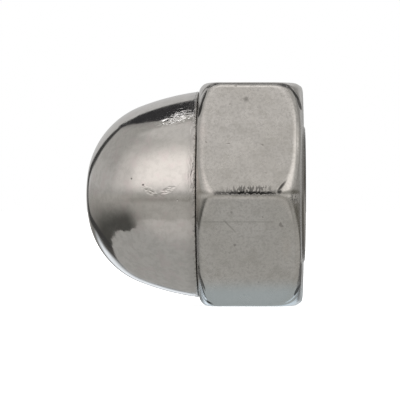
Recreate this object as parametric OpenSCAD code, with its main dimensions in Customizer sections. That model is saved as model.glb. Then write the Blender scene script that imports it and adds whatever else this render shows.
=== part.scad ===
// Domed cap nut, two-piece pattern.
//
// A cold-forged hexagon nut is threaded right through, and a deep-drawn
// steel cap is projection-welded over its far end. Both are nickel plated
// together. The nut lies on one of its flats, with its thread along X:
// the mouth of the thread opens towards +X and the dome points to -X.
// The origin is the centre of the bearing face, on the thread's axis.

/* [Thread] */
// Nominal diameter of the thread
thread_d = 10; // [8:0.5:12]
// Pitch of the thread
thread_pitch = 1.5; // [0.75:0.25:1.75]
// How much wider each mouth is than the thread
countersink_over = 0.1; // [0.1:0.1:1.2]
// Included angle of the countersinks
countersink_angle = 120; // [90:5:140]
// Width of the lip that the tap raises round the bearing side's mouth
lip_w = 0.35; // [0.1:0.05:0.6]
// Height of that lip over the bearing face
lip_h = 0.15; // [0.05:0.05:0.3]

/* [Hexagon nut] */
// Width across the flats
flats_w = 17; // [16.5:0.5:20]
// Height of the nut, from the bearing face to the cap's rim
nut_h = 7.9; // [5:0.1:14]
// Radius on the six upright corners
corner_r = 0.8; // [0.1:0.05:1.2]
// Diameter of the flat part of the bearing face
bearing_face_d = 15.7; // [13:0.1:16.2]
// Radius that turns the bearing face into its chamfer
bearing_edge_r = 0.4; // [0.2:0.1:1.5]
// Slope of the bearing side's chamfer, from the plane of the face
bearing_chamfer_angle = 31; // [15:1:40]
// Slope of the cap side's chamfer, from the plane of the face
cap_side_chamfer_angle = 31; // [12:1:40]
// Width of bare face between the cap's rim and that chamfer
cap_side_ledge = 0.2; // [0.05:0.05:0.4]

/* [Weld collar] */
// Height of the raised ring that the cap is welded to
collar_h = 0.1; // [0.05:0.05:0.6]
// How far the cap's rim stands out past the ring
rim_overhang = 0.3; // [0.1:0.05:0.6]

/* [Cap] */
// Outer diameter of the cap at its rim
cap_d = 15.8; // [14.5:0.1:16]
// Height of the cap, from its rim to the top of the dome
cap_h = 8.7; // [7.5:0.1:9.5]
// Thickness of the drawn sheet
cap_wall = 1; // [0.5:0.1:1.4]
// Lean of the cap's side at the rim, from the thread's axis
rim_lean = 7.3; // [3:0.1:10]
// Radius of the cap's long side curve
flank_r = 19.2; // [15:0.1:25]
// Radius between the side curve and the crown
shoulder_r = 6.4; // [5:0.1:7]
// Radius of the shallow crown
crown_r = 11.1; // [9:0.1:16]
// Radius on the rim's outer edge
rim_edge_r = 0.1; // [0.05:0.05:0.3]

/* [Hidden] */

nickel = [0.69, 0.67, 0.64];
nickel_cap = [0.73, 0.71, 0.68];
curve_fn = 128;
// Reach of the cutting shapes past the solids that they trim
past = 1;
// A blending arc stands this much proud of the lines that it joins, so that
// they cross instead of only touching
arc_lap = 0.0001;

flats_r = flats_w / 2;
corner_reach = flats_r / cos(30);
body_h = nut_h - collar_h;
collar_r = cap_d / 2 - rim_overhang;
cap_side_face_r = cap_d / 2 + cap_side_ledge;

// The internal thread's crests stand 5/8 of the sharp thread's height in
// from the nominal diameter on each side
thread_sharp_h = thread_pitch * cos(30);
bore_r = thread_d / 2 - 5 / 8 * thread_sharp_h;
mouth_r = (thread_d + countersink_over) / 2;
countersink_h = (mouth_r - bore_r) / tan(countersink_angle / 2);

// Centres of the dome's three arcs, in the plane [radius, height over the
// rim]. The shoulder arc is tangent inside both of the others.
flank_c = [cap_d / 2 - flank_r * cos(rim_lean), -flank_r * sin(rim_lean)];
crown_c = [0, cap_h - crown_r];
shoulder_c = circles_meet(flank_c, flank_r - shoulder_r, crown_c, crown_r - shoulder_r);
flank_meets = heading(flank_c, shoulder_c);
crown_meets = heading(crown_c, shoulder_c);
// Centre of the rim's edge radius, tangent to the rim and inside the side
rim_edge_c = [
    flank_c.x + sqrt(pow(flank_r - rim_edge_r, 2) - pow(rim_edge_r - flank_c.y, 2)),
    rim_edge_r
];

// Direction from one point to another, in degrees
function heading(from, to) = atan2(to.y - from.y, to.x - from.x);

// Point on a ray
function along(from, angle, reach) = from + reach * [cos(angle), sin(angle)];

// The meeting point of two circles that lies to the left of the line from
// the first circle's centre to the second's
function circles_meet(c1, r1, c2, r2) =
    let (
        gap = norm(c2 - c1),
        foot = (gap * gap + r1 * r1 - r2 * r2) / (2 * gap),
        rise = sqrt(r1 * r1 - foot * foot),
        way = (c2 - c1) / gap
    )
    c1 + foot * way + rise * [-way.y, way.x];

// Turns a solid that stands on its bearing face onto its side
module lie_down() {
    rotate([0, -90, 0])
        children();
}

// Hexagon with a radius on each corner: two of its flats face along X
module rounded_hexagon() {
    centre_r = (flats_r - corner_r) / cos(30);
    half_edge = (flats_r - corner_r) * tan(30);
    polygon([
        for (side = [0:5], end = [-1, 1])
            let (turn = 60 * side)
            flats_r * [cos(turn), sin(turn)]
                + end * half_edge * [-sin(turn), cos(turn)]
    ]);
    for (corner = [0:5])
        translate(along([0, 0], 30 + 60 * corner, centre_r))
            circle(r = corner_r + arc_lap, $fn = curve_fn);
}

// Turned outline of the nut, as half a section: the lip round the thread's
// mouth, the bearing face with its edge radius, the chamfer at each end, and
// the weld collar on top
module turned_outline() {
    reach = corner_reach + past;
    edge_c = [bearing_face_d / 2, bearing_edge_r];
    edge_end = along(edge_c, bearing_chamfer_angle - 90, bearing_edge_r);
    edge_arc_c = edge_c + [arc_lap, 0];
    chamfer_rise = (reach - edge_end.x) * tan(bearing_chamfer_angle);
    cap_side_drop = (reach - cap_side_face_r) * tan(cap_side_chamfer_angle);
    polygon([
        [0, -lip_h],
        [mouth_r, -lip_h],
        [mouth_r + lip_w, 0],
        [edge_arc_c.x, 0],
        edge_end,
        [reach, edge_end.y + chamfer_rise],
        [reach, body_h - cap_side_drop],
        [cap_side_face_r, body_h],
        [collar_r, body_h],
        [collar_r, nut_h],
        [0, nut_h]
    ]);
    translate(edge_arc_c)
        circle(r = bearing_edge_r, $fn = curve_fn);
}

// Everything that the drill and the countersinks take out
module threaded_way() {
    translate([0, 0, -lip_h - past])
        cylinder(r = bore_r, h = lip_h + nut_h + 2 * past, $fn = curve_fn);
    rotate_extrude($fn = curve_fn)
        polygon([
            [0, -lip_h - past],
            [mouth_r, -lip_h - past],
            [mouth_r, -lip_h],
            [bore_r, countersink_h - lip_h],
            [bore_r, nut_h - countersink_h],
            [mouth_r, nut_h],
            [mouth_r, nut_h + past],
            [0, nut_h + past]
        ]);
}

module hex_nut() {
    color(nickel)
        lie_down()
            difference() {
                intersection() {
                    translate([0, 0, -lip_h])
                        linear_extrude(height = lip_h + nut_h)
                            rounded_hexagon();
                    rotate_extrude($fn = curve_fn)
                        turned_outline();
                }
                threaded_way();
            }
}

// Half section of the dome, with all three arcs drawn in by inset: the side
// and crown arcs with their corner cut off, and the shoulder's disc over it
module dome_section(inset, foot) {
    reach = cap_d + cap_h;
    blend_r = shoulder_r - inset;
    flank_end = along(shoulder_c, flank_meets, blend_r);
    crown_end = along(shoulder_c, crown_meets, blend_r);
    intersection() {
        translate(flank_c)
            circle(r = flank_r - inset, $fn = curve_fn);
        translate(crown_c)
            circle(r = crown_r - inset, $fn = curve_fn);
        polygon([
            [0, -foot],
            [reach, -foot],
            [reach, flank_end.y],
            flank_end,
            crown_end,
            [crown_end.x, reach],
            [0, reach]
        ]);
    }
    intersection() {
        translate(shoulder_c)
            circle(r = blend_r + arc_lap, $fn = curve_fn);
        translate([0, shoulder_c.y])
            square(reach);
    }
}

// What the rounded edge of the rim leaves out of the dome's section
module rim_edge_waste() {
    arc_c = rim_edge_c + [arc_lap, 0];
    difference() {
        polygon([
            arc_c,
            [arc_c.x, -past],
            arc_c + [past, -past],
            along(arc_c, heading(flank_c, rim_edge_c), past)
        ]);
        translate(arc_c)
            circle(r = rim_edge_r, $fn = curve_fn);
    }
}

module dome_cap() {
    color(nickel_cap)
        lie_down()
            translate([0, 0, nut_h])
                rotate_extrude($fn = curve_fn)
                    difference() {
                        dome_section(inset = 0, foot = 0);
                        dome_section(inset = cap_wall, foot = past);
                        rim_edge_waste();
                    }
}

hex_nut();
dome_cap();
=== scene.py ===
import math

import bpy
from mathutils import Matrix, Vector, noise


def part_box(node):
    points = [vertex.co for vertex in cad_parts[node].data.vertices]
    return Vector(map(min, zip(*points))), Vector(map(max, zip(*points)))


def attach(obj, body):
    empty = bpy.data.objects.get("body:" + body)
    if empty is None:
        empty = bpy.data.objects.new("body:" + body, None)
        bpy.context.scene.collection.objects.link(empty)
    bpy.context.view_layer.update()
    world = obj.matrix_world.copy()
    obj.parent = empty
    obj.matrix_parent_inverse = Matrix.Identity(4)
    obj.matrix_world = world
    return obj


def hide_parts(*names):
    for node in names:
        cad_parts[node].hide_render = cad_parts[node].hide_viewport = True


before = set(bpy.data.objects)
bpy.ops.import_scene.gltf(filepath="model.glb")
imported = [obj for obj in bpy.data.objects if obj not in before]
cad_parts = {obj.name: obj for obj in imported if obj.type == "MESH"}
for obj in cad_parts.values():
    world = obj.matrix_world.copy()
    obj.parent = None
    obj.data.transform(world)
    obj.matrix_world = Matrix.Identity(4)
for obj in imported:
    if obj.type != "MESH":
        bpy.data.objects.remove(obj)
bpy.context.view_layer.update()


# ---------------------------------------------------------------------------
# The cap
# Drawn in a press from 1 mm steel sheet: a shallow crown, a tighter shoulder
# and a long side that leans in a little. It is trimmed square at the rim,
# welded over the nut's far end, and plated bright with it.
# ---------------------------------------------------------------------------
MM = 0.001
MICRON = 1e-6
cap_low, cap_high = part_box("dome_cap")
cap_rim_x = cap_high.x - 0.06 * MM
cap_rim_r = cap_high.z
cap_height = cap_rim_x - cap_low.x
cap_wall = 1.0 * MM
cap_side_curve = 19.2 * MM
cap_shoulder_curve = 6.4 * MM
cap_crown_curve = 11.1 * MM
cap_rim_lean = math.radians(7.3)
cap_rim_edge = 0.09 * MM
cap_turns = 400
outer_spacing = 0.11 * MM
inner_spacing = 0.25 * MM
edge_spacing = 0.03 * MM


def arc_points(centre, radius, start, end, spacing):
    """Points [reach, out] along an arc, both ends included."""
    count = max(2, round(abs(end - start) * radius / spacing))
    turns = [start + (end - start) * i / count for i in range(count + 1)]
    return [(centre[0] + radius * math.sin(t), centre[1] + radius * math.cos(t)) for t in turns]


def circles_meet(c1, r1, c2, r2):
    """The meeting point of two circles that lies away from the axis's low side."""
    gap = math.dist(c1, c2)
    foot = (gap * gap + r1 * r1 - r2 * r2) / (2 * gap)
    rise = math.sqrt(r1 * r1 - foot * foot)
    way = ((c2[0] - c1[0]) / gap, (c2[1] - c1[1]) / gap)
    return (c1[0] + foot * way[0] + rise * way[1], c1[1] + foot * way[1] - rise * way[0])


def heading(start, end):
    """Turn of the line between two points, from square to the axis."""
    return math.atan2(end[0] - start[0], end[1] - start[1])


def cap_outline(inset, spacing):
    """The cap's half section from the rim to the pole, drawn in by inset."""
    side_c = (
        -cap_side_curve * math.sin(cap_rim_lean),
        cap_rim_r - cap_side_curve * math.cos(cap_rim_lean))
    crown_c = (cap_height - cap_crown_curve, 0.0)
    shoulder_c = circles_meet(
        side_c, cap_side_curve - cap_shoulder_curve, crown_c, cap_crown_curve - cap_shoulder_curve)
    side_ends = heading(side_c, shoulder_c)
    crown_starts = heading(crown_c, shoulder_c)
    foot = -side_c[0] / (cap_side_curve - inset)
    return (
        arc_points(side_c, cap_side_curve - inset, math.asin(foot), side_ends, spacing)
        + arc_points(shoulder_c, cap_shoulder_curve - inset, side_ends, crown_starts, spacing)[1:]
        + arc_points(crown_c, cap_crown_curve - inset, crown_starts, math.pi / 2, spacing)[1:])


def spin_outline(name, outline, turns):
    """Spins a chain of [x, radius] points round the X axis into one closed skin."""
    mesh = bpy.data.meshes.new(name)
    chain = [(i, i + 1) for i in range(len(outline) - 1)]
    mesh.from_pydata([(x, 0.0, r) for x, r in outline], chain, [])
    piece = bpy.data.objects.new(name, mesh)
    bpy.context.collection.objects.link(piece)
    bpy.ops.object.select_all(action="DESELECT")
    bpy.context.view_layer.objects.active = piece
    piece.select_set(True)
    bpy.ops.object.mode_set(mode="EDIT")
    bpy.ops.mesh.select_all(action="SELECT")
    bpy.ops.mesh.spin(steps=turns, angle=2 * math.pi, center=(0, 0, 0), axis=(1, 0, 0))
    bpy.ops.mesh.select_all(action="SELECT")
    bpy.ops.mesh.remove_doubles(threshold=0.002 * MM)
    bpy.ops.mesh.normals_make_consistent(inside=False)
    bpy.ops.object.mode_set(mode="OBJECT")
    bpy.ops.object.shade_smooth()
    return piece


outer = [(cap_rim_x - reach, out) for reach, out in cap_outline(0.0, outer_spacing)]
inner = [(cap_rim_x - reach, out) for reach, out in cap_outline(cap_wall, inner_spacing)]
edge_c = (cap_rim_edge, cap_rim_r - cap_rim_edge)
rim_edge = [
    (cap_rim_x - reach, out)
    for reach, out in arc_points(edge_c, cap_rim_edge, -math.pi / 2, cap_rim_lean, edge_spacing)]
outer = [p for p in outer if p[0] < rim_edge[-1][0] - 0.02 * MM]
outer[-1] = (outer[-1][0], 0.0)
inner[-1] = (inner[-1][0], 0.0)
dome_cap = spin_outline("cap_shell", outer[::-1] + rim_edge[::-1] + inner, cap_turns)

# The press leaves the shell very slightly out of true, and the trimming die
# leaves a small ragged lip at the rim. These heights are in millimetres.
shell_swell = 0.004
fine_swell = 0.0012
lip_swell = 0.03
lip_x = cap_rim_x - 0.12 * MM
lip_spread = 0.16 * MM
near_axis = 0.1 * MM
for vertex in dome_cap.data.vertices:
    place = vertex.co / MM
    out = math.hypot(vertex.co.y, vertex.co.z)
    if out < near_axis:
        continue
    lip = math.exp(-((lip_x - vertex.co.x) / lip_spread) ** 2)
    ragged = noise.noise(place * 2.7) * 0.6 + noise.noise(place * 6.0) * 0.4
    swell = noise.noise(place * 0.35) * shell_swell + noise.noise(place * 0.9) * fine_swell
    grow = (swell - shell_swell + lip * lip_swell * ragged) * MM
    scale = (out + grow) / out
    vertex.co.y *= scale
    vertex.co.z *= scale


def noise_texture(tree, coordinates, scale, detail, roughness):
    """A noise pattern fixed to the piece; scale counts its features in a metre."""
    node = tree.nodes.new("ShaderNodeTexNoise")
    node.inputs["Scale"].default_value = scale
    node.inputs["Detail"].default_value = detail
    node.inputs["Roughness"].default_value = roughness
    tree.links.new(coordinates, node.inputs["Vector"])
    return node.outputs["Fac"]


def stepped(tree, value, low, high, out_low, out_high):
    """Smoothly turns a value between low and high into out_low to out_high."""
    node = tree.nodes.new("ShaderNodeMapRange")
    node.interpolation_type = "SMOOTHSTEP"
    tree.links.new(value, node.inputs["Value"])
    node.inputs["From Min"].default_value = low
    node.inputs["From Max"].default_value = high
    node.inputs["To Min"].default_value = out_low
    node.inputs["To Max"].default_value = out_high
    return node.outputs["Result"]


def fade(tree, value, none, full):
    """0 where the value is at none, 1 where it is at full, and smooth between."""
    if none < full:
        return stepped(tree, value, none, full, 0.0, 1.0)
    return stepped(tree, value, full, none, 1.0, 0.0)


def combine(tree, operation, *terms):
    """One Math node; each term may be a number or a socket."""
    node = tree.nodes.new("ShaderNodeMath")
    node.operation = operation
    for socket, term in zip(node.inputs, terms):
        if isinstance(term, (int, float)):
            socket.default_value = term
        else:
            tree.links.new(term, socket)
    return node.outputs[0]


def product(tree, first, *others):
    """The product of two terms or more."""
    for other in others:
        first = combine(tree, "MULTIPLY", first, other)
    return first


def wavering(tree, pattern, amount):
    """A noise pattern made to swing about zero, times an amount."""
    return product(tree, combine(tree, "SUBTRACT", pattern, 0.5), amount)


def lay(tree, under, colour, factor):
    """Lays a colour over another, where factor says."""
    node = tree.nodes.new("ShaderNodeMix")
    node.data_type = "RGBA"
    tree.links.new(factor, node.inputs["Factor"])
    if isinstance(under, tuple):
        node.inputs["A"].default_value = (*under, 1)
    else:
        tree.links.new(under, node.inputs["A"])
    node.inputs["B"].default_value = (*colour, 1)
    return node.outputs["Result"]


def stain(tree, shader, colour, factor):
    """Lays a colour over the shader's own colour, where factor says."""
    base = shader.inputs["Base Color"]
    tree.links.new(lay(tree, base.links[0].from_socket, colour, factor), base)


def nickel(name, pale, deep, rough_low, rough_high):
    """A metal with a cloudy tint and an uneven polish; returns it with its parts."""
    material = bpy.data.materials.new(name)
    material.use_nodes = True
    tree = material.node_tree
    shader = tree.nodes["Principled BSDF"]
    shader.inputs["Metallic"].default_value = 1.0
    where = tree.nodes.new("ShaderNodeTexCoord").outputs["Object"]
    clouds = noise_texture(tree, where, 260.0, 3.0, 0.55)
    clouds = fade(tree, clouds, 0.38, 0.62)
    tree.links.new(lay(tree, deep, pale, clouds), shader.inputs["Base Color"])
    wiped = noise_texture(tree, where, 700.0, 4.0, 0.6)
    tree.links.new(stepped(tree, wiped, 0.35, 0.7, rough_low, rough_high), shader.inputs["Roughness"])
    return material, tree, shader, where


def add_relief(tree, height, distance, under=None):
    """One more layer of relief on the shader's normal."""
    bump = tree.nodes.new("ShaderNodeBump")
    bump.inputs["Strength"].default_value = 1.0
    bump.inputs["Distance"].default_value = distance
    tree.links.new(height, bump.inputs["Height"])
    if under is not None:
        tree.links.new(under, bump.inputs["Normal"])
    return bump.outputs["Normal"]


def vector_step(tree, operation, vector, term=None):
    """One Vector Math node; the term is three numbers."""
    node = tree.nodes.new("ShaderNodeVectorMath")
    node.operation = operation
    tree.links.new(vector, node.inputs[0])
    if term is not None:
        node.inputs[1].default_value = term
    return node.outputs


def near_point(tree, where, centre, reach):
    """1 at a place on the piece, falling to 0 at reach; all in millimetres."""
    away = vector_step(tree, "SUBTRACT", where, [c * MM for c in centre])[0]
    away = vector_step(tree, "DIVIDE", away, [r * MM for r in reach])[0]
    away = vector_step(tree, "LENGTH", away)["Value"]
    return fade(tree, away, 1.0, 0.2)


def stretched(tree, where, turn, shape):
    """Coordinates turned about the Y axis, then scaled, for a pattern with a grain."""
    node = tree.nodes.new("ShaderNodeMapping")
    node.vector_type = "POINT"
    tree.links.new(where, node.inputs["Vector"])
    node.inputs["Rotation"].default_value = (0, math.radians(turn), 0)
    node.inputs["Scale"].default_value = shape
    return node.outputs["Vector"]


def streak(tree, where, centre, turn, reach):
    """near_point with its long axis turned up from the X axis, in degrees."""
    c, s = math.cos(math.radians(turn)), math.sin(math.radians(turn))
    turned_centre = (centre[0] * c + centre[2] * s, centre[1], centre[2] * c - centre[0] * s)
    return near_point(tree, stretched(tree, where, turn, (1.0, 1.0, 1.0)), turned_centre, reach)


def split(tree, vector):
    """A vector's X, Y and Z sockets."""
    node = tree.nodes.new("ShaderNodeSeparateXYZ")
    tree.links.new(vector, node.inputs[0])
    return node.outputs


bright_nickel, tree, shader, where = nickel(
    "bright_nickel", (0.725, 0.70, 0.672), (0.68, 0.66, 0.625), 0.06, 0.13)
peel = noise_texture(tree, where, 900.0, 3.0, 0.55)
relief = add_relief(tree, peel, 4 * MICRON)
grit = noise_texture(tree, where, 4500.0, 2.0, 0.5)
relief = add_relief(tree, grit, 0.5 * MICRON, relief)
# The plating is faintly mottled
mottled = noise_texture(tree, where, 2300.0, 3.0, 0.6)
stain(tree, shader, (0.575, 0.56, 0.53), stepped(tree, mottled, 0.4, 0.65, 0.0, 0.5))
flushed = noise_texture(tree, where, 1100.0, 3.0, 0.6)
stain(tree, shader, (0.70, 0.635, 0.62), stepped(tree, flushed, 0.5, 0.65, 0.0, 0.5))
# A patch of pits on the side, in the shape of a V, and three single dots
for spot, turn, reach, depth in (
        ((-11.42, -7.0, 0.27), -33, (0.95, 3.0, 0.34), 55),
        ((-10.06, -7.0, 0.27), 27, (1.0, 3.0, 0.34), 62)):
    pitted = noise_texture(tree, stretched(tree, where, turn + 12, (0.5, 1.0, 1.0)), 3400.0, 2.0, 0.6)
    pits = wavering(tree, pitted, streak(tree, where, spot, turn, reach))
    relief = add_relief(tree, pits, depth * MICRON, relief)
for spot, reach in (
        ((-11.93, -7.0, 0.7), 0.1), ((-12.84, -7.0, 1.18), 0.09), ((-9.35, -7.0, -0.42), 0.09)):
    dot = near_point(tree, where, spot, (reach, 3.0, reach))
    relief = add_relief(tree, dot, -25 * MICRON, relief)
    stain(tree, shader, (0.25, 0.23, 0.21), product(tree, dot, 0.7))
# Folds that the press left in the upper side
for spot, turn, reach, scale, depth in (
        ((-9.8, -4.9, 5.6), 22, (1.6, 3.0, 0.36), 4900.0, 46),
        ((-9.1, -4.9, 6.3), 60, (1.4, 3.0, 1.1), 5600.0, 34),
        ((-13.4, -4.9, 5.45), 30, (0.7, 3.0, 0.3), 6000.0, 26)):
    folded = noise_texture(tree, stretched(tree, where, turn, (0.35, 1.0, 1.0)), scale, 2.0, 0.5)
    folds = wavering(tree, folded, streak(tree, where, spot, turn, reach))
    relief = add_relief(tree, folds, depth * MICRON, relief)
# The trimmed rim is brushed round, rough at its very edge, and darker there in ragged patches
along = split(tree, where)["X"]
by_rim = fade(tree, along, cap_rim_x - 0.85 * MM, cap_rim_x - 0.35 * MM)
brushed = noise_texture(tree, stretched(tree, where, 0, (1.0, 0.22, 0.22)), 5200.0, 3.0, 0.6)
relief = add_relief(tree, wavering(tree, brushed, by_rim), 26 * MICRON, relief)
stain(tree, shader, (0.45, 0.43, 0.41), product(tree, by_rim, 0.3))
at_rim = fade(tree, along, cap_rim_x - 0.32 * MM, cap_rim_x - 0.12 * MM)
ragged_dark = noise_texture(tree, where, 4300.0, 3.0, 0.65)
relief = add_relief(tree, wavering(tree, ragged_dark, at_rim), 60 * MICRON, relief)
stain(tree, shader, (0.2, 0.19, 0.18), product(tree, at_rim, stepped(tree, ragged_dark, 0.5, 0.62, 0.0, 0.55)))
tree.links.new(relief, shader.inputs["Normal"])
dome_cap.data.materials.append(bright_nickel)
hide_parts("dome_cap")
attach(dome_cap, "root")


# ---------------------------------------------------------------------------
# The nut
# Cold-forged from steel bar, so its edges are soft: the die rounds both ends
# of every flat and all six upright corners. It is tapped right through, with
# a countersink at each mouth, and plated satin.
# ---------------------------------------------------------------------------
nut_low, nut_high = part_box("hex_nut")
flat_r = nut_high.z
corner_round = 0.8 * MM
beyond_corners = 10.1 * MM
collar_r = cap_rim_r - 0.3 * MM
far_face_x = nut_low.x + 0.03 * MM
far_face_r = cap_rim_r + 0.1 * MM
far_edge_h = 0.12 * MM
far_arc_c = (far_face_x + 3.454 * MM, 6.903 * MM)
far_arc_r = 3.624 * MM
bearing_x = 0.0
bearing_arc_c = (-2.73 * MM, 7.42 * MM)
bearing_arc_r = 2.71 * MM
arc_spacing = 0.09 * MM
side_spacing = 0.125 * MM
pitch = 1.5 * MM
thread_root_r = 5.0 * MM
thread_crest_r = 4.188 * MM
thread_flank = math.radians(30)
root_softness = 0.12 * MM
lip_w = 0.35 * MM
mouth_r = 5.05 * MM
mouth_slope = math.tan(math.radians(60))
nut_turns = 396


def straight(start, end, spacing):
    """Points from start up to, but without, end."""
    count = max(1, round(math.dist(start, end) / spacing))
    return [
        (start[0] + (end[0] - start[0]) * i / count, start[1] + (end[1] - start[1]) * i / count)
        for i in range(count)]


def hexagon_reach(turn):
    """Distance from the axis to the hexagon, with its corners rounded."""
    off_flat = (turn + math.radians(30)) % math.radians(60) - math.radians(30)
    off_corner = math.radians(30) - abs(off_flat)
    centre = (flat_r - corner_round) / math.cos(math.radians(30))
    if off_corner > math.atan2(corner_round / 2, centre + corner_round * math.cos(math.radians(30))):
        return flat_r / math.cos(off_flat)
    side = centre * math.sin(off_corner)
    return centre * math.cos(off_corner) + math.sqrt(corner_round ** 2 - side ** 2)


def soft_least(a, b, blend):
    """The smaller of two lengths, with a soft change from one to the other."""
    near = max(blend - abs(a - b), 0.0) / blend
    return min(a, b) - near * near * blend / 4


def thread_reach(x, turn):
    """Radius of the right-hand internal thread's wall; its root is an eighth of the pitch wide."""
    along = (x + pitch * turn / (2 * math.pi)) % pitch
    off_groove = abs(along - pitch / 2)
    sloped = thread_root_r - (off_groove - pitch / 16) / math.tan(thread_flank)
    return max(thread_crest_r, soft_least(thread_root_r, sloped, root_softness))


bearing_arc = arc_points(
    bearing_arc_c, bearing_arc_r, math.pi / 2,
    math.acos((beyond_corners - bearing_arc_c[1]) / bearing_arc_r), arc_spacing)
far_arc = arc_points(
    far_arc_c, far_arc_r, -math.acos((beyond_corners - far_arc_c[1]) / far_arc_r),
    -math.acos((far_face_r - far_arc_c[1]) / far_arc_r), arc_spacing)
outline = (
    straight((nut_high.x, mouth_r), (bearing_x, mouth_r + lip_w), 0.06 * MM)
    + straight((bearing_x, mouth_r + lip_w), bearing_arc[0], 0.3 * MM)
    + bearing_arc[:-1]
    + straight(bearing_arc[-1], far_arc[0], side_spacing)
    + far_arc[:-1]
    + straight(far_arc[-1], (far_face_x, far_face_r - far_edge_h), 0.05 * MM)
    + straight((far_face_x, far_face_r - far_edge_h), (far_face_x, collar_r), 0.1 * MM)
    + straight((far_face_x, collar_r), (nut_low.x, collar_r), 0.05 * MM)
    + straight((nut_low.x, collar_r), (nut_low.x, mouth_r), 0.6 * MM))
outline += straight((nut_low.x, mouth_r), (nut_high.x, mouth_r), pitch / 20)
outline.append(outline[0])
hex_nut = spin_outline("nut_body", outline, nut_turns)

# The blank is turned so far. Now the dies crowd it in to the hexagon, and
# the tap cuts the bore. The vertices are crowded towards the corners too.
corner_crowding = 0.6
bore_limit = mouth_r + 0.01 * MM
far_chamfer_off = 0.28 * MM
flat_fullness = 0.35 * MM
crease_depth = 0.06 * MM
crease_spread = 1.3
blend_at_corners, blend_at_flats, blend_far = 0.55, 0.25, 0.15


def share(value):
    """The value, kept from 0 to 1."""
    return min(1.0, max(0.0, value))


def forged_reach(x, turn, turned):
    """Radius of the outside, where the blank was turned to the radius given."""
    middle = (0.5 + 0.5 * math.cos(6 * turn)) ** 2
    # The far chamfer was turned a little off the axis
    if x < -5 * MM:
        turned -= far_chamfer_off * math.sin(turn) * share((turned - collar_r) / (0.4 * MM))
    # Both chamfers are fuller at the flats' middles, and creased at the corners
    fuller = max(0.0, 1 + x / (0.3 * MM), 0.4 - (x - far_face_x) / (1.5 * MM))
    turned += flat_fullness * middle * fuller * share(turned / MM - 6.2)
    off_corner = (math.degrees(turn) % 60 - 30) / crease_spread
    turned -= crease_depth * math.exp(-off_corner ** 2) * share(turned / MM - 7.9)
    # The flats sag towards their far ends
    inward = max(0.0, 1.0 - (x - far_face_x) / (1.2 * MM)) ** 2
    sag = (0.06 * middle + 0.01) * inward * MM
    blend = blend_at_corners + blend_at_flats * middle + (blend_far * middle if x < -4 * MM else 0.0)
    return soft_least(hexagon_reach(turn) - sag, turned, blend * MM)


for vertex in hex_nut.data.vertices:
    x, y, z = vertex.co
    turned = math.hypot(y, z)
    turn = math.atan2(y, z)
    turn -= corner_crowding * math.sin(6 * (turn - math.radians(30))) / 6
    if turned > bore_limit:
        radius = forged_reach(x, turn, turned)
    else:
        cone = mouth_r - min(nut_high.x - x, x - nut_low.x) * mouth_slope
        radius = max(thread_reach(x, turn), cone)
    vertex.co.y = radius * math.sin(turn)
    vertex.co.z = radius * math.cos(turn)

satin_nickel, tree, shader, where = nickel(
    "satin_nickel", (0.735, 0.71, 0.675), (0.69, 0.665, 0.625), 0.2, 0.3)
grain = noise_texture(tree, where, 2600.0, 3.0, 0.6)
relief = add_relief(tree, grain, 6 * MICRON)
# Handling leaves the plating speckled, with a few darker spots
speckle = noise_texture(tree, where, 5200.0, 3.0, 0.7)
stain(tree, shader, (0.52, 0.50, 0.475), stepped(tree, speckle, 0.42, 0.66, 0.0, 0.6))
blots = noise_texture(tree, where, 900.0, 4.0, 0.6)
stain(tree, shader, (0.55, 0.53, 0.49), stepped(tree, blots, 0.5, 0.66, 0.0, 0.5))
spots = fade(tree, noise_texture(tree, where, 2300.0, 0.0, 0.4), 0.80, 0.86)
stain(tree, shader, (0.34, 0.32, 0.30), product(tree, spots, 0.7))
relief = add_relief(tree, spots, -6 * MICRON, relief)
for spot, reach in (((-4.2, -5.7, 7.2), 0.28), ((-5.2, -7.8, -1.35), 0.16), ((-5.4, -5.5, -4.4), 0.14)):
    bruise = near_point(tree, where, spot, (reach, 3.0, reach))
    stain(tree, shader, (0.3, 0.29, 0.27), product(tree, bruise, 0.8))
# Two scratches on the lower face, one level and one that slopes
x_at, y_at, z_at = split(tree, where)
near_side = fade(tree, y_at, 0.0, -1.0 * MM)
for slope, rise, start, stop, half_width, depth in (
        (0.0, -2.07, -7.3, -2.2, 0.055, 0.45), (-1.0, -7.75, -5.65, -5.1, 0.11, 0.55)):
    level = product(tree, x_at, slope)
    off_line = combine(tree, "SUBTRACT", combine(tree, "SUBTRACT", z_at, level), rise * MM)
    off_line = combine(tree, "ABSOLUTE", off_line)
    scratch = product(
        tree, fade(tree, off_line, half_width * MM, 0.3 * half_width * MM),
        fade(tree, x_at, (start - 0.3) * MM, start * MM),
        fade(tree, x_at, (stop + 0.3) * MM, stop * MM), near_side)
    stain(tree, shader, (0.36, 0.35, 0.32), product(tree, scratch, depth))
# The front corner has a dark ragged line with fine whiskers above it, painted in as a painted reflection
# of the dark camera side in the rounded corner; the same mask dents it slightly
ragged = noise_texture(tree, stretched(tree, where, 0, (1.0, 0.3, 0.3)), 4200.0, 3.0, 0.65)
ragged = wavering(tree, ragged, 0.5 * MM)
painted_corner_reflection = combine(tree, "SUBTRACT", combine(tree, "ADD", z_at, ragged), 0.1 * MM)
patchy = noise_texture(tree, stretched(tree, where, 0, (1.0, 0.1, 0.1)), 1300.0, 3.0, 0.6)
patchy = wavering(tree, patchy, 0.3 * MM)
painted_corner_reflection = combine(tree, "SUBTRACT", combine(tree, "ABSOLUTE", painted_corner_reflection), patchy)
painted_corner_reflection = fade(tree, painted_corner_reflection, 0.13 * MM, 0.05 * MM)
whiskers = noise_texture(tree, stretched(tree, where, 0, (1.0, 0.2, 0.2)), 7600.0, 2.0, 0.6)
above = combine(tree, "DIVIDE", z_at, 0.62 * MM)
limit = combine(tree, "ADD", product(tree, above, 0.13), 0.38)
ragged_dark = stepped(tree, combine(tree, "SUBTRACT", whiskers, limit), 0.0, 0.07, 0.0, 0.75)
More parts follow.
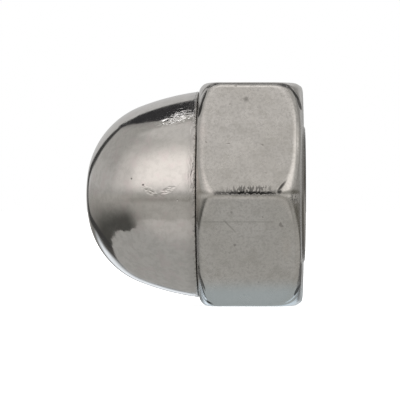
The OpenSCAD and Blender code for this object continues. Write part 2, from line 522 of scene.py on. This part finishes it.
ragged_dark = product(
    tree, ragged_dark, fade(tree, above, 0.05, 0.2), fade(tree, above, 1.2, 0.8),
    near_point(tree, where, (-3.7, -9.7, 0.2), (2.7, 2.0, 1.6)))
painted_corner_reflection = product(tree, painted_corner_reflection, near_point(tree, where, (-3.75, -9.7, 0.1), (3.3, 2.0, 1.6)))
ragged_dark = combine(tree, "MAXIMUM", ragged_dark, painted_corner_reflection)
for spot, turn, reach in (
        ((-1.48, -9.5, 0.57), 52, (0.8, 3.0, 0.16)), ((-1.62, -9.5, 0.17), 0, (0.3, 3.0, 0.24))):
    ragged_dark = combine(tree, "MAXIMUM", ragged_dark, streak(tree, where, spot, turn, reach))
# Painted reflection: the camera side's dark, laid into the front corner's colour
stain(tree, shader, (0.07, 0.067, 0.063), product(tree, ragged_dark, 0.93))
relief = add_relief(tree, ragged_dark, -14 * MICRON, relief)
# The low lip at the bearing end is painted darker, most of all its upper half: painted shade
stain(tree, shader, (0.3, 0.29, 0.28), product(
    tree, fade(tree, x_at, 0.02 * MM, 0.06 * MM), stepped(tree, z_at, -1.5 * MM, 1.0 * MM, 0.2, 0.75)))
# The lowest part is painted a cool grey, a painted reflection of the table close under it, and three
# places are faintly coloured
stain(tree, shader, (0.71, 0.80, 0.84), stepped(tree, z_at, -7.6 * MM, -6.2 * MM, 0.75, 0.0))
for spot, reach, colour, depth in (
        ((-7.4, -5.0, 4.5), (0.9, 3.0, 1.3), (0.72, 0.62, 0.58), 0.55),
        ((-1.1, -5.5, -3.6), (0.75, 3.0, 1.9), (0.66, 0.58, 0.50), 0.6),
        ((-5.6, -5.5, -1.2), (1.0, 3.0, 0.7), (0.62, 0.68, 0.68), 0.5)):
    stain(tree, shader, colour, product(tree, near_point(tree, where, spot, reach), depth))
# Each corner ends in a crease over the rounded ends, painted dark and dull there as painted shade. In
# sixths of a turn, off_corner is 0 at a corner and 0.5 at a flat's middle.
sixths = combine(tree, "DIVIDE", combine(tree, "ARCTAN2", y_at, z_at), math.radians(60))
off_corner = combine(tree, "MODULO", combine(tree, "ADD", sixths, 6.0), 1.0)
off_corner = combine(tree, "ABSOLUTE", combine(tree, "SUBTRACT", off_corner, 0.5))
on_crease = fade(tree, off_corner, 0.02, 0.01)
ends = combine(
    tree, "MAXIMUM", fade(tree, x_at, -1.75 * MM, -1.35 * MM), fade(tree, x_at, -7.15 * MM, -7.3 * MM))
ends = product(tree, ends, fade(tree, y_at, -3.5 * MM, -2.5 * MM))
far_band = product(tree, fade(tree, x_at, -6.6 * MM, -7.0 * MM), fade(tree, x_at, -7.3 * MM, -7.15 * MM))
ends = combine(tree, "MAXIMUM", ends, far_band)
crease_unevenness = stepped(tree, noise_texture(tree, where, 2600.0, 3.0, 0.6), 0.35, 0.6, 0.55, 1.0)
off_level = stepped(tree, combine(tree, "ABSOLUTE", z_at), 1.0 * MM, 2.0 * MM, 0.0, 0.95)
out_squared = combine(
    tree, "ADD", combine(tree, "POWER", y_at, 2.0), combine(tree, "POWER", z_at, 2.0))
off_bore = fade(tree, out_squared, (8.0 * MM) ** 2, (8.7 * MM) ** 2)
dirt_and_painted_shade = product(tree, on_crease, ends, crease_unevenness, off_level, off_bore)
# On the two corners on the camera's side the painted shade is deeper and its lines wander; the last mark
# is painted shade by the cap's rim
for spot, turn, reach, depth in (
        ((-7.5, -4.9, 7.0), 70, (1.4, 3.0, 0.12), 0.95),
        ((-7.66, -4.9, 6.35), 76, (1.0, 3.0, 0.17), 0.97),
        ((-7.53, -4.9, -6.56), -71, (1.1, 3.0, 0.11), 0.85),
        ((-7.7, -4.9, -6.1), -76, (0.7, 3.0, 0.16), 0.8),
        ((-0.834, -4.9, 7.985), -46, (0.7, 3.0, 0.11), 0.9),
        ((-0.46, -4.9, 7.5), -56, (0.7, 3.0, 0.14), 0.95),
        ((-0.2, -4.9, 6.9), -72, (0.8, 3.0, 0.16), 0.9),
        ((-0.1, -4.9, -5.9), 88, (1.6, 3.0, 0.12), 0.85),
        ((-0.33, -4.9, -7.2), 61, (0.75, 3.0, 0.15), 0.9),
        ((-7.8, -7.4, -3.8), 90, (2.4, 3.0, 0.2), 0.5)):
    mark = streak(tree, where, spot, turn, reach)
    dirt_and_painted_shade = combine(tree, "MAXIMUM", dirt_and_painted_shade, stepped(tree, mark, 0.08, 0.5, 0.0, depth))
# A few grains lie at the front corner's bearing end
grains = stepped(tree, noise_texture(tree, where, 5200.0, 2.0, 0.6), 0.5, 0.56, 0.0, 0.8)
grains = product(tree, grains, near_point(tree, where, (-0.5, -9.2, -0.3), (0.65, 3.0, 0.55)))
dirt_and_painted_shade = combine(tree, "MAXIMUM", dirt_and_painted_shade, grains)
# Where the dirt and the painted shade lie there is neither metal nor sheen
stain(tree, shader, (0.018, 0.017, 0.016), dirt_and_painted_shade)
tree.links.new(combine(tree, "SUBTRACT", 1.0, dirt_and_painted_shade), shader.inputs["Metallic"])
shader.inputs["IOR"].default_value = 1.0
tree.links.new(relief, shader.inputs["Normal"])
hex_nut.data.materials.append(satin_nickel)
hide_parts("hex_nut")
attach(hex_nut, "root")


# ---------------------------------------------------------------------------
# The weld
# A thin dark line of scorched metal fills the notch between the cap's rim
# and the nut, where the two were pressed together hot. It is rubbed bare in
# one place, high on the camera's side.
# ---------------------------------------------------------------------------
weld_r = cap_rim_r - 0.16 * MM
weld_half_width = 0.065 * MM
weld_x = (nut_low.x + far_face_x) / 2
lump_out = 0.12 * MM
lump_along = 0.012 * MM
bpy.ops.object.select_all(action="DESELECT")
bpy.ops.mesh.primitive_torus_add(
    major_segments=420, minor_segments=10, major_radius=weld_r, minor_radius=weld_half_width,
    location=(0, 0, 0), rotation=(0, math.pi / 2, 0))
weld = bpy.context.object
weld.name = "weld_bead"
bpy.ops.object.transform_apply(location=True, rotation=True, scale=True)
for vertex in weld.data.vertices:
    lump = noise.noise(vertex.co / MM * 2.3) * 0.7 + noise.noise(vertex.co / MM * 5.0) * 0.7
    out = math.hypot(vertex.co.y, vertex.co.z)
    scale = 1 + lump * lump_out / out
    vertex.co.x += weld_x + lump * lump_along
    vertex.co.y *= scale
    vertex.co.z *= scale
bpy.ops.object.shade_smooth()
scorched = bpy.data.materials.new("scorched_weld")
scorched.use_nodes = True
tree = scorched.node_tree
shader = tree.nodes["Principled BSDF"]
where = tree.nodes.new("ShaderNodeTexCoord").outputs["Object"]
bared = near_point(tree, where, (-7.9, -5.5, 4.95), (2.0, 3.0, 0.85))
tree.links.new(
    lay(tree, (0.035, 0.031, 0.028), (0.4, 0.39, 0.37), bared), shader.inputs["Base Color"])
shader.inputs["Metallic"].default_value = 0.4
shader.inputs["Roughness"].default_value = 0.5
weld.data.materials.append(scorched)
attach(weld, "root")


# ---------------------------------------------------------------------------
# The table
# A plain white sheet that the nut lies on. It keeps the soft shadow under
# the nut; the metal sees the studio below the horizon instead of it.
# ---------------------------------------------------------------------------
table_side = 6.0
paper_white = (0.9, 0.9, 0.9, 1)
paper_glow = 0.75
bpy.ops.object.select_all(action="DESELECT")
bpy.ops.mesh.primitive_plane_add(size=table_side, location=(0, 0, nut_low.z))
table = bpy.context.object
table.name = "table"
white_sheet = bpy.data.materials.new("white_sheet")
white_sheet.use_nodes = True
tree = white_sheet.node_tree
tree.nodes.remove(tree.nodes["Principled BSDF"])
paper = tree.nodes.new("ShaderNodeBsdfDiffuse")
paper.inputs["Color"].default_value = paper_white
glow = tree.nodes.new("ShaderNodeEmission")
glow.inputs["Strength"].default_value = paper_glow
both = tree.nodes.new("ShaderNodeAddShader")
tree.links.new(paper.outputs[0], both.inputs[0])
tree.links.new(glow.outputs[0], both.inputs[1])
path = tree.nodes.new("ShaderNodeLightPath")
seen = tree.nodes.new("ShaderNodeMixShader")
tree.links.new(path.outputs["Is Camera Ray"], seen.inputs["Fac"])
tree.links.new(paper.outputs[0], seen.inputs[1])
tree.links.new(both.outputs[0], seen.inputs[2])
tree.links.new(seen.outputs[0], tree.nodes["Material Output"].inputs["Surface"])
table.data.materials.append(white_sheet)
table.visible_glossy = False


# ---------------------------------------------------------------------------
# The studio
# White to the eye. What the metal reflects is a pale tent: a broad soft light
# over the camera, the darker room under it, the table, a white sweep behind
# and narrow dark gaps at the tent's edges.
# ---------------------------------------------------------------------------
world = bpy.data.worlds.new("studio")
bpy.context.scene.world = world
world.use_nodes = True
tree = world.node_tree
background = tree.nodes["Background"]
direction = tree.nodes.new("ShaderNodeTexCoord").outputs["Generated"]
to_right, to_back, upward = split(tree, direction)


def degrees(value):
    """An angle in radians turned to degrees."""
    return product(tree, value, 180 / math.pi)


def mask(*steps):
    """The product of fades, each (value, where it is 0, where it is 1)."""
    return product(tree, *[fade(tree, *step) for step in steps])


# Where a ray goes: swing runs from 0 at the camera's side to 180 behind, and is
# more than 0 on the cap's side; height runs from -90 straight down to 90 straight up.
to_left = product(tree, to_right, -1.0)
to_front = product(tree, to_back, -1.0)
swing = degrees(combine(tree, "ARCTAN2", to_left, to_front))
aside = combine(tree, "ABSOLUTE", swing)
height = degrees(combine(tree, "ARCSINE", upward))
# The table's edge is wavy, as it is seen in the metal, and dips at each side
ripple = wavering(tree, noise_texture(tree, direction, 7.0, 4.0, 0.6), 11.0)
dip = product(tree, mask((aside, 44, 60), (aside, 92, 80)), 5.0)
edge = combine(tree, "ADD", combine(tree, "ADD", height, ripple), dip)
sunk = combine(tree, "SUBTRACT", height, product(tree, aside, 0.10))
# The gap between wall and sweep on the cap's side bends over into one in the roof
bend = combine(tree, "DIVIDE", height, 10.0)
bend = combine(tree, "DIVIDE", 27.5, combine(tree, "ADD", product(tree, bend, bend), 1.0))
bend = combine(tree, "ADD", bend, product(tree, height, 0.2))
steep = combine(tree, "MAXIMUM", combine(tree, "SUBTRACT", height, 30.0), 0.0)
bend = combine(tree, "ADD", bend, product(tree, steep, 0.45))
off_cap_gap = combine(tree, "SUBTRACT", combine(tree, "SUBTRACT", swing, 131.5), bend)
off_cap_gap = combine(tree, "ABSOLUTE", off_cap_gap)
off_nut_gap = combine(tree, "ABSOLUTE", combine(tree, "ADD", swing, 145.0))
# The roof is laid out flat: how far behind and how far sideways for a rise of 1
behind = combine(tree, "DIVIDE", to_back, upward)
sideways = combine(tree, "ABSOLUTE", combine(tree, "DIVIDE", to_right, upward))


def strip_side(bends_at):
    """How far behind, measured on a strip that bends backwards at a place sideways."""
    bent = combine(tree, "MAXIMUM", combine(tree, "SUBTRACT", sideways, bends_at), 0.0)
    return combine(tree, "SUBTRACT", behind, product(tree, bent, 1.6))


strip_low = strip_side(0.42)
strip_high = strip_side(0.6)

sky = (0.45, 0.445, 0.435)
for colour, *steps in (
        # The walls and roof of the tent
        ((0.56, 0.55, 0.535), (height, 40, 56), (height, 90, 78), (aside, 95, 50)),
        ((0.51, 0.505, 0.495), (height, 2, 6), (height, 26, 14)),
        ((0.43, 0.425, 0.41), (height, 48, 60), (aside, 92, 112)),
        ((0.60, 0.585, 0.575), (height, 57, 66), (aside, 106, 90)),
        ((0.68, 0.665, 0.655), (height, 54, 64), (swing, 15, 35), (swing, 106, 90)),
        ((1.3, 1.28, 1.26), (height, 66, 76), (aside, 60, 20)),
        # A bright panel each side of the camera, the cap's with a softer one round it
        ((0.72, 0.695, 0.685), (height, -2, 12), (height, 66, 34), (swing, 96, 66), (swing, 8, 16)),
        ((1.16, 1.11, 1.09), (height, -2, 18), (height, 66, 30), (swing, 64, 38), (swing, 13, 26)),
        ((1.10, 1.07, 1.05), (height, 2, 16), (height, 66, 46), (swing, -98, -62), (swing, -12, -28)),
        # The gloom below the panels, down to the table's far edge
        ((0.46, 0.45, 0.43), (height, 2, -2)),
        ((0.35, 0.34, 0.32), (height, -2, -6), (height, -10, -6), (aside, 70, 50)),
        ((0.085, 0.085, 0.08), (sunk, -8, -33), (aside, 36, 68)),
        ((0.12, 0.115, 0.10), (height, 2, -2), (swing, -80, -100)),
        # The sweep behind, dimmer beyond the nut's end
        ((0.60, 0.60, 0.60), (height, -1, 5), (aside, 140, 150)),
        ((0.30, 0.295, 0.285), (height, 1, 4), (height, 30, 22), (swing, -112, -130), (swing, -166, -156)),
        # The table: its far edge, nearer at the nut's end and dark behind there, and lit in front
        ((0.425, 0.425, 0.415), (edge, -30.2, -31.8)),
        ((0.425, 0.42, 0.405), (height, -12, -17), (swing, -50, -75)),
        ((0.12, 0.115, 0.11), (height, -28, -22), (height, 1, -3), (swing, -138, -144)),
        ((0.57, 0.555, 0.54), (edge, -26.5, -30.5), (height, -62, -36), (aside, 58, 40)),
        # The bright foot of the sweep
        ((1.02, 1.08, 1.15), (height, -8, -16), (height, -34, -20), (swing, 140, 152)),
        ((0.74, 0.79, 0.84), (height, -11, -15), (height, -50, -42), (swing, -147, -151)),
        ((0.62, 0.63, 0.64), (height, 3, -3), (height, -16, -12), (swing, -162, -168)),
        # A dark gap between the walls and the sweep on each side
        ((0.06, 0.06, 0.06), (off_cap_gap, 6, 3.2), (height, -32, -28), (height, 48, 40)),
        ((0.25, 0.25, 0.25), (off_nut_gap, 7, 4), (height, 8, 14), (height, 48, 40)),
        # The gap in the roof: its soft edge, a lamp at one end, its inside and its dark sides
        ((0.34, 0.335, 0.33), (height, 20, 30), (strip_low, 0.0, 0.25), (strip_high, 1.04, 0.96),
         (sideways, 1.0, 0.8), (sideways, 0.42, 0.5)),
        ((3.2, 3.2, 3.3), (height, 20, 30), (behind, 0.19, 0.24), (behind, 0.5, 0.4),
         (sideways, 0.2, 0.27), (sideways, 0.42, 0.37), (swing, 0, 10)),
        ((0.22, 0.22, 0.22), (height, 20, 30), (behind, 0.32, 0.4), (behind, 1.04, 0.96),
         (sideways, 0.3, 0.2)),
        ((0.04, 0.04, 0.043), (height, 20, 30), (strip_low, 0.25, 0.31), (strip_high, 1.04, 0.96),
         (sideways, 1.0, 0.86), (sideways, 0.12, 0.22)),
        # The camera and whoever stands behind it
        ((0.05, 0.05, 0.05), (height, -10, -3), (height, 32, 24), (aside, 12, 7))):
    sky = lay(tree, sky, colour, mask(*steps))

rays = tree.nodes.new("ShaderNodeLightPath")
not_glossy = combine(tree, "SUBTRACT", 1.0, rays.outputs["Is Glossy Ray"])
tree.links.new(lay(tree, sky, (1.0, 1.0, 1.0), not_glossy), background.inputs["Color"])
background.inputs["Strength"].default_value = 1.0


# ---------------------------------------------------------------------------
# The camera
# Level with the nut, almost square to its axis and a long way off, so that
# the corners stay straight.
# ---------------------------------------------------------------------------
camera_data = bpy.data.cameras.new("camera")
camera = bpy.data.objects.new("camera", camera_data)
bpy.context.collection.objects.link(camera)
camera_distance = 400 * MM
view_width = 30.67 * MM
view_swing = math.radians(2.13)
nearest_seen = 0.01
aim = Vector((-7.895 * MM, 0.0, -0.427 * MM))
camera.location = aim + camera_distance * Vector((math.sin(view_swing), -math.cos(view_swing), 0.0))
camera.rotation_euler = (math.pi / 2, 0.0, view_swing)
camera_data.lens = camera_data.sensor_width * camera_distance / view_width
camera_data.clip_start = nearest_seen
bpy.context.scene.camera = camera
bpy.context.scene.view_settings.view_transform = "Standard"
